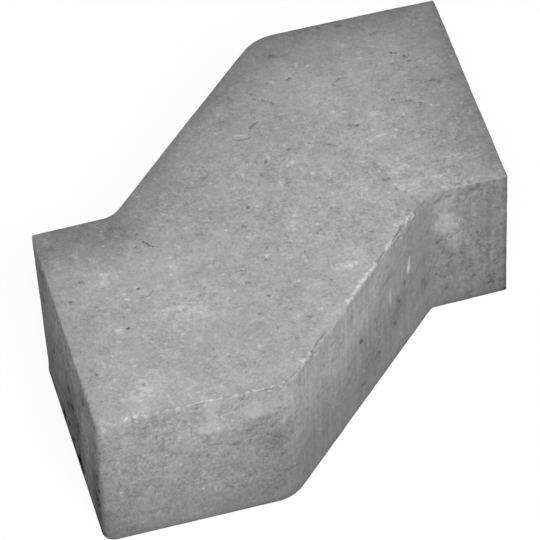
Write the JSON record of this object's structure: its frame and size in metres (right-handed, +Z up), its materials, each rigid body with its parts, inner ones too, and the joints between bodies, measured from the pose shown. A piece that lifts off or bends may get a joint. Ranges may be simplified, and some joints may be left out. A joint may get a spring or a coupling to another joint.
{
  "type": "zigzag concrete paving stone",
  "caption": "Thick grey concrete paving stone with a zigzag plan, square worn edges and a flat face above and below, laid in interlocking rows as a hard ground surface.",
  "frame": {"origin": "centre of the bed face, the flat underside that the stone rests on", "axes": "+X along the two end legs of the zigzag, +Y across them towards the second leg's side, +Z up out of the wearing face"},
  "size_m": [0.225, 0.22, 0.08],
  "materials": {
    "concrete": "rough grey pressed concrete, fine grained, with small pits, pale bloom and worn edges"
  },
  "bodies": {
    "root": {"paving_stone": "concrete"}
  },
  "joints": []
}
